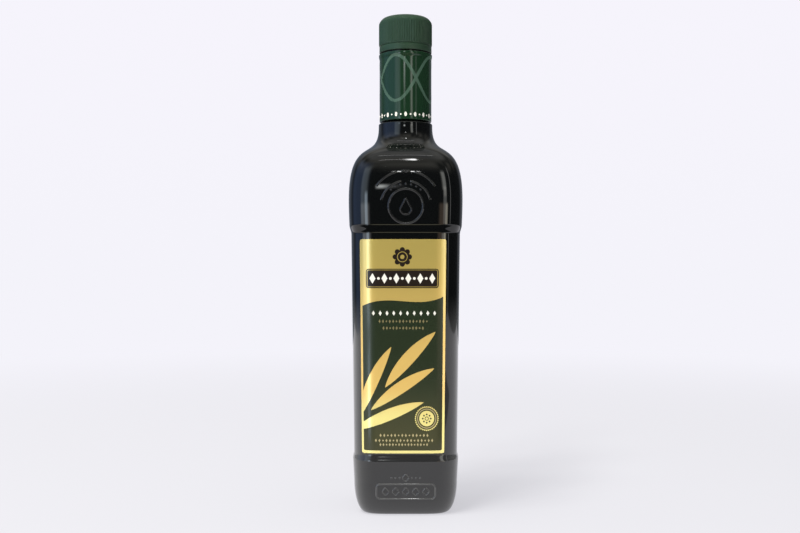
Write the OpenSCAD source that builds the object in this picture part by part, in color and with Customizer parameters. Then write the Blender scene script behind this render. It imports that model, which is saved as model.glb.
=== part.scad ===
// Olive oil bottle, 750 ml: a square dark glass bottle with a round neck, a printed neck sleeve,
// a ribbed screw cap and a recessed, slightly tapered label panel on every side.
// Millimetres, +Z up, origin at the centre of the base, front label towards -Y.

/* [Glass body] */
// Half width of the shoulder, the widest part of the glass
shoulder_half = 35.4; // [34.5:0.1:37]
// Height of the widest part of the shoulder
shoulder_z = 192.6; // [185:0.1:196]
// Half width of the label panel at its upper end
panel_top_half = 33.8; // [33:0.1:34.2]
// Half width of the label panel at its lower end
panel_bottom_half = 32.1; // [31.5:0.1:32.4]
// Height where the label panel starts, above the base block
panel_bottom_z = 37; // [36:0.5:44]
// Height where the label panel ends, below the shoulder
panel_top_z = 171; // [165:0.5:172]
// Height of the sloping step between the base block and the panel
lower_step_h = 4; // [3:0.5:6]
// Height of the sloping step between the panel and the shoulder
upper_step_h = 6; // [3:0.5:7]
// Half width of the base block at its upper edge
block_half = 32.8; // [32.6:0.1:34]
// Half width of the flat square that the bottle stands on
foot_half = 25.8; // [24:0.1:28]
// Height of the rounded heel
heel_h = 19.5; // [10:0.5:24]
// Roundness exponent of the square section: 2 is a circle, larger is squarer
squareness = 5.2; // [4:0.1:8]

/* [Punt] */
// Half width of the hollow under the base
punt_half = 21.5; // [15:0.5:23]
// Depth of the hollow under the base
punt_depth = 2.6; // [1:0.1:5]

/* [Neck] */
// Radius of the glass neck below the sleeve
neck_r = 17; // [16.6:0.1:18]
// Height where the glass steps in under the sleeve
neck_ring_z = 241.4; // [240:0.1:244]
// Radius of the glass neck inside the sleeve and the cap
neck_inner_r = 15; // [14:0.1:15.4]
// Height of the top of the glass neck, inside the cap
neck_top_z = 300; // [295:0.5:302]

/* [Sleeve] */
// Lower edge of the neck sleeve
sleeve_bottom_z = 242.6; // [242:0.1:245]
// Upper edge of the neck sleeve
sleeve_top_z = 285.2; // [280:0.1:285.4]
// Outer radius of the neck sleeve
sleeve_r = 16.45; // [16:0.05:16.6]
// How far the rolled upper edge of the sleeve stands out
sleeve_lip = 0.4; // [0:0.05:0.6]

/* [Cap] */
// Lower edge of the screw cap
cap_bottom_z = 286.2; // [286:0.1:288]
// Overall height, to the top of the cap
cap_top_z = 309.5; // [305:0.5:315]
// Radius of the smooth band round the foot of the cap
cap_band_r = 16.55; // [16:0.05:16.7]
// Height of the smooth band
cap_band_h = 3.9; // [3:0.1:6]
// Radius over the ribs
cap_r = 16.85; // [16.8:0.05:17.2]
// Number of grip ribs
rib_count = 96; // [48:4:120]
// Depth of a grip rib
rib_depth = 0.3; // [0.2:0.05:0.5]
// Radius of the cap's rounded upper edge
cap_edge_r = 4.6; // [2:0.1:5]
// Rise of the domed top
cap_dome = 0.9; // [0.3:0.1:1.5]

/* [Labels] */
// Lower edge of the labels
label_bottom_z = 38.1; // [38:0.1:50]
// Upper edge of the labels
label_top_z = 167.6; // [150:0.1:170]
// Half width of the labels at their upper edge
label_top_half = 26.1; // [22:0.1:27]
// Sideways offset of the front label, as applied
label_shift = -1.5; // [-2:0.1:2]
// Thickness of the label paper
label_t = 0.25; // [0.2:0.05:0.4]

/* [Raised glass ornament] */
// Height of the centre of the round shoulder ornament
emblem_z = 187.5; // [185:0.5:192]
// Radius of the shoulder ornament's ring
emblem_r = 10.4; // [8:0.1:12]
// Height of the centre of the bar ornament on the base block
bar_z = 14.8; // [14:0.1:20]
// Width of the bar ornament
bar_w = 36.6; // [30:0.2:40]
// Height of the bar ornament
bar_h = 10; // [8:0.5:11]
// Height of the lozenge over the bar
crest_h = 5; // [4:0.5:6]
// How far the ornament stands out of the glass
relief = 0.45; // [0.2:0.05:0.6]
// Width of the ornament's raised lines
line_w = 0.9; // [0.6:0.1:1.5]

/* [Hidden] */
$fn = 96;

section_points = 72;        // points round one section of the glass
shoulder_rise = 41.2;       // pull of the shoulder curve, upwards from the widest part
neck_drop = 23.6;           // pull of the shoulder curve, downwards from the neck
neck_foot_z = 239.8;        // height where the shoulder curve meets the neck
step_points = 6;            // rings on a sloping step
shoulder_points = 24;       // rings on the shoulder curve
heel_step = 15;             // degrees between rings on the heel
ring_edge = 0.8;            // rounding of the glass edge under the sleeve
lower_step_z = panel_bottom_z - lower_step_h;
upper_step_z = panel_top_z + upper_step_h;
shoulder_start = shoulder_half - 0.4;
bore_r = neck_inner_r + 0.1;
label_points = 28;          // points along the width of a label
embed = 1;                  // how deep the ornament's solids reach into the glass
panel_slope = (panel_top_half - panel_bottom_half) / (panel_top_z - panel_bottom_z);

// A smooth rise from 0 to 1, level at both ends.
function ease(t) = (1 - cos(180 * t)) / 2;

// One coordinate of a cubic curve with its four control values.
function cubic(t, p0, p1, p2, p3) =
    pow(1 - t, 3) * p0 + 3 * t * pow(1 - t, 2) * p1 + 3 * t * t * (1 - t) * p2 + t * t * t * p3;

// Radius of a rounded square of half width a and exponent e, in the direction ang.
function square_r(a, e, ang) = a / pow(pow(abs(cos(ang)), e) + pow(abs(sin(ang)), e), 1 / e);

// Half width of the label panel at height z.
function panel_half(z) = panel_bottom_half + panel_slope * (z - panel_bottom_z);

// The exponent falls from the square body to the circle of the neck as the shoulder narrows.
function shoulder_exp(a) = 2 + (squareness - 2) * max(0, min(1, (a - neck_r) / (shoulder_half - neck_r)));

// Every ring of the glass is [half width, height, exponent], from the punt out and up to the neck.
punt_rings = [for (t = [0.15, 0.5, 0.8, 0.95, 1])
    [punt_half * t, punt_depth * (1 - pow(t, 4)) + 0.02 * (1 - t), 2 + (squareness - 2) * t]];
foot_ring = [[foot_half, 0, squareness]];
heel_rings = [for (t = [heel_step : heel_step : 90])
    [foot_half + (panel_bottom_half - foot_half) * sin(t), heel_h * (1 - cos(t)), squareness]];
lower_step_rings = [for (i = [0 : step_points - 1]) let (t = i / (step_points - 1))
    [block_half + (panel_bottom_half - block_half) * ease(t), lower_step_z + lower_step_h * t, squareness]];
upper_step_rings = [for (i = [0 : step_points - 1]) let (t = i / (step_points - 1))
    [panel_top_half + (shoulder_start - panel_top_half) * ease(t),
     panel_top_z + upper_step_h * t, squareness]];
crown_rings = [for (t = [0.35, 0.7])
    [shoulder_start + (shoulder_half - shoulder_start) * sin(90 * t),
     upper_step_z + (shoulder_z - upper_step_z) * t, squareness]];
shoulder_rings = [for (i = [0 : shoulder_points - 1])
    let (t = i / (shoulder_points - 1), a = cubic(t, shoulder_half, shoulder_half, neck_r, neck_r))
    [a, cubic(t, shoulder_z, shoulder_z + shoulder_rise, neck_foot_z - neck_drop, neck_foot_z),
     shoulder_exp(a)]];
neck_edge_rings = [for (t = [0, 30, 60, 90])
    [neck_r - ring_edge * (1 - cos(t)), neck_ring_z - ring_edge * (1 - sin(t)), 2]];
glass_rings = concat(punt_rings, foot_ring, heel_rings, lower_step_rings, upper_step_rings,
    crown_rings, shoulder_rings, neck_edge_rings);

function ring_points(ring, count) = [for (k = [0 : count - 1])
    let (ang = 360 * k / count, r = square_r(ring[0], ring[2], ang))
    [r * cos(ang), r * sin(ang), ring[1]]];

// A closed skin through rings of equal point count, with a flat face on the first and the last.
module skin(rings, count) {
    last = len(rings) - 1;
    points = [for (ring = rings) each ring_points(ring, count)];
    sides = [for (j = [0 : last - 1], k = [0 : count - 1])
        let (n = (k + 1) % count) [j * count + k, (j + 1) * count + k, (j + 1) * count + n, j * count + n]];
    first_face = [for (k = [0 : count - 1]) k];
    last_face = [for (k = [count - 1 : -1 : 0]) last * count + k];
    polyhedron(points, concat([first_face], sides, [last_face]));
}

module rounded_bar(w, h, r) {
    offset(r = r) square([w - 2 * r, h - 2 * r], center = true);
}

module lozenge(w, h) {
    polygon([[w / 2, 0], [0, h / 2], [-w / 2, 0], [0, -h / 2]]);
}

// A flat curved line of outer radius r, from one angle to another.
module curved_line(r, from, to) {
    steps = 12;
    angles = [for (i = [0 : steps]) from + (to - from) * i / steps];
    polygon(concat([for (a = angles) r * [cos(a), sin(a)]],
        [for (i = [steps : -1 : 0]) (r - line_w) * [cos(angles[i]), sin(angles[i])]]));
}

// A pointed drop: a circle with a tangent peak above it.
module drop_shape(r) {
    tangent = 35;
    circle(r, $fn = 48);
    polygon([[r * cos(tangent), r * sin(tangent)], [0, r / sin(tangent)],
        [-r * cos(tangent), r * sin(tangent)]]);
}

// Stands a flat shape on the front of the glass at height z, half width half, leaning back by lean.
module on_front(z, half, lean) {
    translate([0, -half, z]) rotate([90 - lean, 0, 0]) translate([0, 0, -embed])
        linear_extrude(embed + relief) children();
}

// Raised ring with a drop in it, and beads between plain curved lines above.
module shoulder_ornament() {
    bead_count = 7;
    bead_span = 84;
    bead_r = line_w * 0.7;
    bead_row_r = emblem_r + 3;
    line_r = emblem_r + 5.2;
    drop_scale = 0.42;
    drop_hollow = 0.72;
    drop_fall = emblem_r * 0.16;
    on_front(emblem_z, shoulder_half - 0.1, 0) {
        difference() {
            circle(emblem_r + line_w / 2);
            circle(emblem_r - line_w / 2);
        }
        translate([0, -drop_fall]) scale(drop_scale) difference() {
            drop_shape(emblem_r);
            scale(drop_hollow) drop_shape(emblem_r);
        }
        for (i = [0 : bead_count - 1]) {
            ang = 90 + bead_span * (i / (bead_count - 1) - 0.5);
            translate(bead_row_r * [cos(ang), sin(ang)]) circle(bead_r, $fn = 24);
        }
        curved_line(line_r, 15, 80);
        curved_line(line_r, 100, 165);
    }
}

// Raised rounded bar with a row of lozenges in it, and one lozenge between beads above.
module base_ornament() {
    lozenge_count = 5;
    pitch = bar_w / (lozenge_count + 1);
    lean = 4;
    corner_r = 2.4;
    crest_w = 4.4;
    crest_gap = 0.9;
    bead_pitch = 2.5;
    bead_r = line_w * 0.7;
    on_front(bar_z, panel_bottom_half - 0.3, -lean) {
        difference() {
            rounded_bar(bar_w, bar_h, corner_r);
            rounded_bar(bar_w - 2 * line_w, bar_h - 2 * line_w, corner_r - line_w);
        }
        for (i = [1 : lozenge_count])
            translate([i * pitch - bar_w / 2, 0]) lozenge(pitch * 0.62, bar_h * 0.42);
        translate([0, (bar_h + crest_h) / 2 + crest_gap]) {
            lozenge(crest_w, crest_h);
            for (i = [1 : 3], side = [-1, 1])
                translate([side * (crest_w / 2 + (i - 0.4) * bead_pitch), 0]) circle(bead_r, $fn = 24);
        }
    }
}

module bottle() {
    color("#141a18") {
        skin(glass_rings, section_points);
        translate([0, 0, shoulder_z]) cylinder(r = neck_inner_r, h = neck_top_z - shoulder_z);
        for (side = [0, 180]) rotate(side) {
            shoulder_ornament();
            base_ornament();
        }
    }
}

// Thin tube round the neck, with a rolled upper edge and a turned-in lower edge.
module sleeve() {
    edge = 0.5;
    flare_z = sleeve_top_z - 3.4;
    color("#2f4a3d") rotate_extrude() polygon([
        [bore_r, sleeve_bottom_z],
        [sleeve_r - edge, sleeve_bottom_z],
        [sleeve_r - edge * 0.3, sleeve_bottom_z + edge * 0.3],
        [sleeve_r, sleeve_bottom_z + edge],
        [sleeve_r, flare_z],
        [sleeve_r + sleeve_lip * 0.3, flare_z + 1.2],
        [sleeve_r + sleeve_lip, sleeve_top_z - edge],
        [sleeve_r + sleeve_lip - edge * 0.3, sleeve_top_z - edge * 0.3],
        [sleeve_r + sleeve_lip - edge, sleeve_top_z],
        [bore_r, sleeve_top_z]]);
}

// Outline of the cap's body: band, groove, core of the ribbed wall, rounded edge and dome.
module cap_profile() {
    core_r = cap_r - rib_depth;
    groove = 0.35;
    band_top = cap_bottom_z + cap_band_h;
    edge_z = cap_top_z - cap_dome - cap_edge_r;
    edge_arc = [for (t = [0 : 10 : 80]) [core_r - cap_edge_r * (1 - cos(t)), edge_z + cap_edge_r * sin(t)]];
    dome_arc = [for (t = [0.25 : 0.25 : 1])
        [(core_r - cap_edge_r) * (1 - t), edge_z + cap_edge_r + cap_dome * (1 - pow(1 - t, 2))]];
    polygon(concat([
        [0, cap_bottom_z],
        [cap_band_r - 0.3, cap_bottom_z],
        [cap_band_r, cap_bottom_z + 0.3],
        [cap_band_r, band_top],
        [cap_band_r - groove, band_top + 0.15],
        [cap_band_r - groove, band_top + 0.45],
        [core_r, band_top + 0.6]], edge_arc, dome_arc));
}

// A star-shaped prism: one pointed rib for each step round the cap.
module rib_ring(height) {
    linear_extrude(height) polygon([for (i = [0 : 2 * rib_count - 1])
        let (ang = 180 * i / rib_count, r = i % 2 == 0 ? cap_r : cap_r - rib_depth - 0.02)
        [r * cos(ang), r * sin(ang)]]);
}

module cap() {
    rib_start = cap_bottom_z + cap_band_h + 0.6;
    rib_end = cap_top_z - cap_dome - cap_edge_r + 0.4;
    color("#31493a") difference() {
        union() {
            rotate_extrude() cap_profile();
            translate([0, 0, rib_start]) rib_ring(rib_end - rib_start);
        }
        translate([0, 0, cap_bottom_z - 1]) cylinder(r = bore_r, h = neck_top_z + 0.2 - cap_bottom_z + 1);
    }
}

// Point on the front panel at height z, whose sideways place is u at the panel's upper end, raised by lift.
function panel_point(z, u, lift) =
    let (a = panel_half(z), s = a / panel_half(label_top_z), x = u * s,
        y = pow(pow(a, squareness) - pow(abs(x), squareness), 1 / squareness),
        slope = pow(abs(x) / y, squareness - 1) * sign(x), len = sqrt(1 + slope * slope))
    [x + lift * slope / len, -(y + lift / len), z];

// A thin sheet lying on the panel, between two heights, with its four sides closed.
module label(shift) {
    us = [for (k = [0 : label_points]) shift + label_top_half * (2 * k / label_points - 1)];
    count = label_points + 1;
    loop_at = function (z) concat(
        [for (k = [0 : label_points]) panel_point(z, us[k], label_t)],
        [for (k = [label_points : -1 : 0]) panel_point(z, us[k], 0)]);
    total = 2 * count;
    points = concat(loop_at(label_bottom_z), loop_at(label_top_z));
    sides = [for (k = [0 : total - 1]) let (n = (k + 1) % total) [k, total + k, total + n, n]];
    ends = [for (k = [0 : label_points - 1])
        each [[k, k + 1, total - 2 - k, total - 1 - k],
            [total + k + 1, total + k, 2 * total - 1 - k, 2 * total - 2 - k]]];
    polyhedron(points, concat(sides, ends));
}

module label_front() {
    color("#b49c55") label(label_shift);
}

module label_back() {
    color("#b49c55") rotate(180) label(0);
}

bottle();
sleeve();
cap();
label_front();
label_back();
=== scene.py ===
import math

import bpy
import numpy as np
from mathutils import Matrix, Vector


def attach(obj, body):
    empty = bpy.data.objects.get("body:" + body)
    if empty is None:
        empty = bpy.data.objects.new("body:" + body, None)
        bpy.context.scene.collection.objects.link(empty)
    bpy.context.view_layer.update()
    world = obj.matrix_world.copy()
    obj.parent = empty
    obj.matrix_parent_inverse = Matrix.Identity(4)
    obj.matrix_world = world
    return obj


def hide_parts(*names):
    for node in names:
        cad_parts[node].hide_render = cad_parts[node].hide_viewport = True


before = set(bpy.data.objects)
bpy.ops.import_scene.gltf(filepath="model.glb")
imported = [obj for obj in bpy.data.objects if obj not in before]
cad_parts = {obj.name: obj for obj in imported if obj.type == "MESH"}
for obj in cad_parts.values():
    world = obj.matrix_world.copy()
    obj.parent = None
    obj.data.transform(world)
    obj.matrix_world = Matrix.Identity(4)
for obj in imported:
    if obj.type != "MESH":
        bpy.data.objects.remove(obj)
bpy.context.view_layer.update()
mm = 0.001
scene = bpy.context.scene
print("frame loaded:", ", ".join(sorted(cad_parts)))


def quadSheet(rows, cols, wrap, flip=False):
    # faces of a grid of points, numbered row by row; wrap joins the last column to the first
    r = np.arange(rows - 1)[:, None]
    c = np.arange(cols if wrap else cols - 1)[None, :]
    n = (c + 1) % cols
    corners = [r * cols + c, r * cols + n, (r + 1) * cols + n, (r + 1) * cols + c]
    faces = np.stack(corners, axis=-1).reshape(-1, 4)
    return faces[:, ::-1] if flip else faces


def ringFan(first, count, pole, flip=False):
    # triangles from a ring of points to one pole point
    k = np.arange(count)
    tris = np.stack([np.full(count, pole), first + (k + 1) % count, first + k], axis=-1)
    return tris[:, ::-1] if flip else tris


class Shape:
    # gathers points (in millimetres) and faces of several closed parts into one mesh
    def __init__(self):
        self.points = []
        self.faces = []
        self.count = 0

    def add(self, points, *faceSets):
        self.points.append(np.asarray(points, float).reshape(-1, 3))
        self.faces += [f for s in faceSets for f in (np.asarray(s) + self.count).tolist()]
        self.count += len(self.points[-1])

    def build(self, name, material):
        mesh = bpy.data.meshes.new(name)
        mesh.from_pydata(np.concatenate(self.points) * mm, [], self.faces)
        mesh.update()
        mesh.shade_smooth()
        mesh.set_sharp_from_angle(angle=math.radians(62))
        piece = bpy.data.objects.new(name, mesh)
        scene.collection.objects.link(piece)
        mesh.materials.append(material)
        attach(piece, "root")
        return piece


def addSlab(shape, top, under, wrap=False):
    # a thin closed plate between two equal grids: top looks outwards, under looks inwards, rims join them
    rows, cols = top.shape[:2]
    n = rows * cols
    last = (rows - 1) * cols
    if wrap:
        k = np.arange(cols)
        m = (k + 1) % cols
        rims = [np.stack([k, k + n, m + n, m], axis=-1),
                np.stack([last + k, last + m, last + m + n, last + k + n], axis=-1)]
    else:
        loop = np.concatenate([np.arange(cols), np.arange(1, rows) * cols + cols - 1,
                               last + np.arange(cols - 2, -1, -1), np.arange(rows - 2, 0, -1) * cols])
        after = np.roll(loop, -1)
        rims = [np.stack([after, loop, loop + n, after + n], axis=-1)]
    shape.add(np.concatenate([top.reshape(-1, 3), under.reshape(-1, 3)]),
              quadSheet(rows, cols, wrap), quadSheet(rows, cols, wrap, flip=True) + n, *rims)


def addDisc(shape, top, under, centreTop, centreUnder):
    # a closed round plate: rings of points from the middle outwards on both faces, and a pole on each
    rings, cols = top.shape[:2]
    n = rings * cols
    last = n - cols
    k = np.arange(cols)
    m = (k + 1) % cols
    shape.add(np.concatenate([top.reshape(-1, 3), under.reshape(-1, 3), [centreTop], [centreUnder]]),
              quadSheet(rings, cols, True, flip=True), quadSheet(rings, cols, True) + n,
              np.stack([last + m, last + k, last + k + n, last + m + n], axis=-1),
              ringFan(0, cols, 2 * n, flip=True), ringFan(n, cols, 2 * n + 1))


def between(low, high, t):
    return low + (high - low) * t


def ease(t):
    # a smooth rise from 0 to 1, level at both ends: (1 - cos(pi t)) / 2
    return (1 - np.cos(np.pi * np.clip(t, 0, 1))) / 2


def cubic(t, p0, p1, p2, p3):
    # one coordinate of a cubic curve with its four control values
    return (1 - t) ** 3 * p0 + 3 * t * (1 - t) ** 2 * p1 + 3 * t * t * (1 - t) * p2 + t ** 3 * p3


def squareRadius(ang, n):
    # radius towards ang of |x|^n + |y|^n = 1: a lozenge at n = 1, a circle at 2, a rounded square above
    return (np.abs(np.cos(ang)) ** n + np.abs(np.sin(ang)) ** n) ** (-1 / n)


def leftOf(along):
    # unit directions in (x, z), a quarter turn to the left of the given ones
    along = along / np.linalg.norm(along, axis=1, keepdims=True)
    return np.stack([-along[:, 1], along[:, 0]], -1)


def acrossPath(path, closed):
    return leftOf(np.roll(path, -1, 0) - np.roll(path, 1, 0) if closed else np.gradient(path, axis=0))


def together(*columns):
    return np.stack(np.broadcast_arrays(*columns), -1)


glassShape = {
    # half widths and heights from the foot to the shoulder, in millimetres, as in the CAD
    "footHalf": 25.8, "heelH": 19.5, "blockHalf": 32.8, "lowerStepH": 4.0, "panelBottomHalf": 32.1,
    "panelBottomZ": 37.0, "panelTopHalf": 33.8, "panelTopZ": 171.0, "upperStepH": 6.0,
    "crownRise": 0.4, "shoulderHalf": 35.4, "shoulderZ": 192.6, "shoulderRise": 41.2,
    # the neck, its edge under the sleeve, its hidden part, and the hollow under the base
    "neckDrop": 23.6, "neckFootZ": 239.8, "neckR": 17.0, "neckRingZ": 241.4, "ringEdge": 0.8,
    "neckInnerR": 15.0, "neckRowsZ": (262.0, 284.0), "neckTopZ": 300.0, "neckChamfer": 0.3,
    "puntHalf": 21.5, "puntDepth": 2.6,
    # squareness is the exponent of the section, 2 for a circle; the others set how dense the mesh is
    "squareness": 5.2, "columns": 264, "panelRowGap": 5.0, "rowGap": 0.62, "edgeRowGap": 0.16,
}


def glassProfile():
    # rows of [half width, height, squareness] up the outer skin: heel arc, block, eased step, straight panel,
    # eased step, crown, cubic shoulder, and the quarter round of the neck's edge
    g = glassShape
    full = g["squareness"]
    blockTop = g["panelBottomZ"] - g["lowerStepH"]
    crownZ = g["panelTopZ"] + g["upperStepH"]
    crownHalf = g["shoulderHalf"] - g["crownRise"]
    t = np.linspace(0, 1, 160)
    rise, lag = np.sin(t * np.pi / 2), 1 - np.cos(t * np.pi / 2)
    rows = [
        together(between(g["footHalf"], g["panelBottomHalf"], rise), g["heelH"] * lag, full),
        together(between(g["panelBottomHalf"], g["blockHalf"], t), between(g["heelH"], blockTop, t), full),
        together(between(g["blockHalf"], g["panelBottomHalf"], ease(t)),
                 between(blockTop, g["panelBottomZ"], t), full),
        together(between(g["panelBottomHalf"], g["panelTopHalf"], t),
                 between(g["panelBottomZ"], g["panelTopZ"], t), full),
        together(between(g["panelTopHalf"], crownHalf, ease(t)), between(g["panelTopZ"], crownZ, t), full),
        together(between(crownHalf, g["shoulderHalf"], rise), between(crownZ, g["shoulderZ"], t), full),
    ]
    t = np.linspace(0, 1, 800)
    half = cubic(t, g["shoulderHalf"], g["shoulderHalf"], g["neckR"], g["neckR"])
    height = cubic(t, g["shoulderZ"], g["shoulderZ"] + g["shoulderRise"],
                   g["neckFootZ"] - g["neckDrop"], g["neckFootZ"])
    roundness = (half - g["neckR"]) / (g["shoulderHalf"] - g["neckR"])
    rows.append(together(half, height, between(2, full, roundness)))
    t = np.linspace(0, np.pi / 2, 40)
    rows.append(together(g["neckR"] - g["ringEdge"] * (1 - np.cos(t)),
                         g["neckRingZ"] - g["ringEdge"] * (1 - np.sin(t)), 2.0))
    table = np.concatenate(rows)
    moved = np.hypot(*np.diff(table[:, :2], axis=0).T) > 1e-6
    return table[np.concatenate([[True], moved])]


glassRows = glassProfile()


def frontPoint(x, z, lift, side):
    # point of the glass in front (side -1) or behind (side 1), |y|^n = a^n - |x|^n, moved out by lift
    def onGlass(px, pz):
        a = np.interp(pz, glassRows[:, 1], glassRows[:, 0])
        n = np.interp(pz, glassRows[:, 1], glassRows[:, 2])
        return np.stack([px, -(np.maximum(a ** n - np.abs(px) ** n, 1e-9)) ** (1 / n), pz], -1)

    x, z, lift = np.broadcast_arrays(np.asarray(x, float), np.asarray(z, float), np.asarray(lift, float))
    nudge = 0.05
    normal = np.cross(onGlass(x + nudge, z) - onGlass(x - nudge, z),
                      onGlass(x, z + nudge) - onGlass(x, z - nudge))
    normal /= np.linalg.norm(normal, axis=-1, keepdims=True)
    point = onGlass(x, z) + normal * lift[..., None]
    return point if side < 0 else point * np.array([-1, -1, 1])


def rowSpacing(z):
    # rows lie close together on the heel, the steps and the shoulder, and far apart on the straight panel
    g = glassShape
    onPanel = (z > g["panelBottomZ"] + 2) & (z < g["panelTopZ"] - 2)
    offPanel = np.where(z > g["neckRingZ"] - 2, g["edgeRowGap"], g["rowGap"])
    return np.where(onPanel, g["panelRowGap"], offPanel)


def makeGlass(material):
    # a rounded square |x|^n + |y|^n = a^n carried up the profile, with the punt below and the neck above
    g = glassShape
    gaps = np.hypot(*np.diff(glassRows[:, :2], axis=0).T)
    steps = gaps / rowSpacing((glassRows[1:, 1] + glassRows[:-1, 1]) / 2)
    along = np.concatenate([[0], np.cumsum(steps)])
    stops = np.linspace(0, along[-1], int(along[-1]) + 1)
    outer = np.stack([np.interp(stops, along, glassRows[:, i]) for i in range(3)], -1)
    t = np.linspace(0.08, 1, 22)
    punt = together(g["puntHalf"] * t, g["puntDepth"] * (1 - t ** 4), between(2, g["squareness"], t))
    bearing = together(between(g["puntHalf"], g["footHalf"], np.linspace(0.2, 0.8, 4)), 0, g["squareness"])
    inner, chamfer = g["neckInnerR"], g["neckChamfer"]
    neck = together([inner + chamfer, inner, inner, inner, inner, inner - chamfer],
                    [g["neckRingZ"] + 0.02, g["neckRingZ"] + chamfer, *g["neckRowsZ"],
                     g["neckTopZ"] - chamfer, g["neckTopZ"]], 2.0)
    rows = np.concatenate([punt, bearing, outer, neck])
    ang = np.linspace(0, 2 * np.pi, g["columns"], endpoint=False)[None, :]
    a, z, n = (rows[:, i:i + 1] for i in range(3))
    r = a * squareRadius(ang, n)
    grid = together(r * np.cos(ang), r * np.sin(ang), z)
    count = len(rows) * g["columns"]
    poles = [[0, 0, g["puntDepth"]], [0, 0, g["neckTopZ"]]]
    shape = Shape()
    shape.add(np.concatenate([grid.reshape(-1, 3), poles]), quadSheet(len(rows), g["columns"], True),
              ringFan(0, g["columns"], count),
              ringFan(count - g["columns"], g["columns"], count + 1, flip=True))
    piece = shape.build("bottleGlass", material)
    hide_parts("bottle")


# the rim of a raised line lies skin inside the glass, and its flat foot lies sink inside it
ridge = {"width": 1.5, "rise": 0.46, "beadR": 0.75, "skin": 0.012, "sink": 0.3}


def addRidge(shape, path, side, width=ridge["width"], closed=True):
    # a bell-shaped ridge, rise * cos^2 across a path of (x, z) on the glass, that fades at open ends
    w = np.linspace(-1, 1, 11)
    where = path[:, None, :] + acrossPath(path, closed)[:, None, :] * (w[None, :, None] * width / 2)
    lift = ridge["rise"] * np.cos(w * np.pi / 2) ** 2 - ridge["skin"]
    if not closed:
        t = np.linspace(0, 1, len(path))
        lift = lift * np.clip(np.minimum(t, 1 - t) * len(path) / 5, 0, 1)[:, None] ** 0.7
    top = frontPoint(where[..., 0], where[..., 1], lift, side)
    foot = frontPoint(where[..., 0], where[..., 1], -ridge["sink"], side)
    addSlab(shape, top.transpose(1, 0, 2)[::-1], foot.transpose(1, 0, 2)[::-1], wrap=closed)


def addBead(shape, x, z, side):
    # a round boss: rise * cos^2 of the distance from its middle
    q = np.linspace(0.14, 1, 7)[:, None]
    ang = np.linspace(0, 2 * np.pi, 20, endpoint=False)[None, :]
    px, pz = x + ridge["beadR"] * q * np.cos(ang), z + ridge["beadR"] * q * np.sin(ang)
    lift = ridge["rise"] * np.cos(q * np.pi / 2) ** 2 - ridge["skin"]
    addDisc(shape, frontPoint(px, pz, lift, side), frontPoint(px, pz, -ridge["sink"], side),
            frontPoint(x, z, ridge["rise"] - ridge["skin"], side), frontPoint(x, z, -ridge["sink"], side))


def circlePath(x, z, r, count, start=0.0, end=360.0):
    # points of a whole circle, or of an arc with both its ends
    ang = np.radians(np.linspace(start, end, count, endpoint=end - start < 360))
    return np.stack([x + r * np.cos(ang), z + r * np.sin(ang)], -1)


def roundedBarPath(x, z, w, h, r):
    # outline of a bar with round corners, walked anticlockwise
    perCorner, perSide = 10, 24
    corners = []
    for i, (sx, sz) in enumerate([(1, 1), (-1, 1), (-1, -1), (1, -1)]):
        ang = np.linspace(0, np.pi / 2, perCorner) + i * np.pi / 2
        corners.append(np.stack([x + sx * (w / 2 - r) + r * np.cos(ang),
                                 z + sz * (h / 2 - r) + r * np.sin(ang)], -1))
    t = np.linspace(0, 1, perSide)[1:-1, None]
    path = []
    for corner, following in zip(corners, corners[1:] + corners[:1]):
        path += [corner, between(corner[-1], following[0], t)]
    return np.concatenate(path)


def lozengePath(x, z, halfW, halfH):
    # |x/w|^1.3 + |z/h|^1.3 = 1, a lozenge with soft corners
    ang = np.linspace(0, 2 * np.pi, 40, endpoint=False)
    r = squareRadius(ang, 1.3)
    return np.stack([x + halfW * r * np.cos(ang), z + halfH * r * np.sin(ang)], -1)


def dropPath(x, z, r):
    # a circle whose upper half is narrowed by 0.45 s and drawn up by 0.75 s^2, where s is the sine
    ang = np.linspace(-np.pi / 2, 3 * np.pi / 2, 72, endpoint=False)
    s = np.clip(np.sin(ang), 0, 1)
    return np.stack([x + r * np.cos(ang) * (1 - 0.45 * s), z + r * np.sin(ang) * (1 + 0.75 * s ** 2)], -1)


shoulderRing = {
    "z": 187.5, "r": 10.4, "dropZ": 185.9, "dropR": 3.4, "dropLine": 1.2,
    "beadRowR": 13.4, "beadFrom": 48, "beadTo": 132, "beadCount": 7,
    # curved lines round the ring's middle: radius, number of points, first and last angle
    "lines": [(15.2, 48, 14, 80), (15.2, 48, 100, 166), (21.3, 48, 34, 76), (21.3, 48, 104, 146),
              (21.3, 24, 82, 98)],
}


def makeShoulderOrnament(material, side, name):
    o = shoulderRing
    shape = Shape()
    addRidge(shape, circlePath(0, o["z"], o["r"], 160), side)
    addRidge(shape, dropPath(0, o["dropZ"], o["dropR"]), side, width=o["dropLine"])
    for ang in np.radians(np.linspace(o["beadFrom"], o["beadTo"], o["beadCount"])):
        addBead(shape, o["beadRowR"] * math.cos(ang), o["z"] + o["beadRowR"] * math.sin(ang), side)
    for r, count, start, end in o["lines"]:
        addRidge(shape, circlePath(0, o["z"], r, count, start, end), side, closed=False)
    shape.build(name, material)


baseBar = {
    "z": 14.8, "width": 35.6, "height": 9.0, "corner": 2.4, "line": 1.3,
    "lozengeCount": 5, "lozengeSpan": 12.2, "lozengeHalf": (1.9, 2.2), "lozengeLine": 1.05,
    "crestZ": 23.2, "crestHalf": (1.9, 2.1), "crestBeads": (3.7, 6.2, 8.7),
}


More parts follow.
